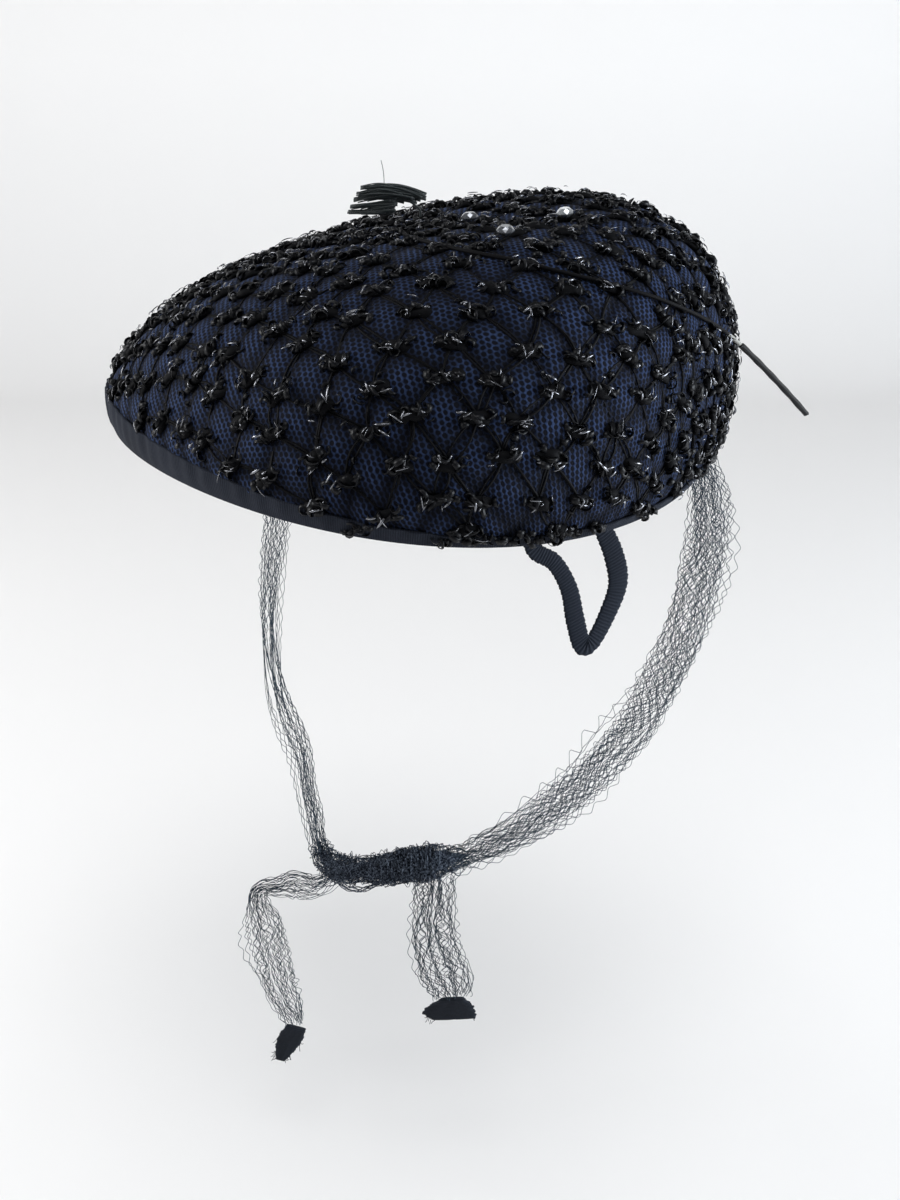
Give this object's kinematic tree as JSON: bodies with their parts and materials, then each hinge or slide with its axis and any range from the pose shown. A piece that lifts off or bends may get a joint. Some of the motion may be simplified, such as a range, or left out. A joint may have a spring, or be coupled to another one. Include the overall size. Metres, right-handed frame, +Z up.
{
  "type": "veil-tied cocktail hat",
  "caption": "Shallow oval domed dress hat in dark netted cloth, with a bound rim, feather quill, cut stones, ribbon loop and gathered net ties knotted in a loop under the chin.",
  "frame": {"origin": "middle of the head opening, in the plane of the rim, where the hat sits on a head", "axes": "+Z up out of the crown's top, +Y along the head opening toward the crown's taller and broader end, +X toward the side that the quill's free end is seen from, with the knot below it"},
  "size_m": [0.2079, 0.241, 0.3373],
  "materials": {
    "cloth": "open weave over stiffened cloth, matte",
    "ribbon": "matte woven ribbon",
    "elastic": "ribbed elastic ribbon, matte",
    "quill": "dyed feather shaft, satin",
    "thread": "wound thread, satin",
    "feather": "dyed feather barbs, soft sheen",
    "stone": "clear cut stone, polished",
    "veil": "gathered net, matte",
    "tab": "folded matte cloth"
  },
  "bodies": {
    "root": {"crown": "cloth", "edge_binding": "ribbon", "feather_tuft": "feather", "hat_quill": "quill", "quill_sleeve": "thread", "rhinestone_1": "stone", "rhinestone_2": "stone", "rhinestone_3": "stone", "comb_loop": "elastic", "veil_tie_near": "veil", "veil_tie_far": "veil", "tie_knot": "veil", "tail_front": "veil", "tail_back": "veil", "tail_tab_front": "tab", "tail_tab_back": "tab"}
  },
  "joints": []
}
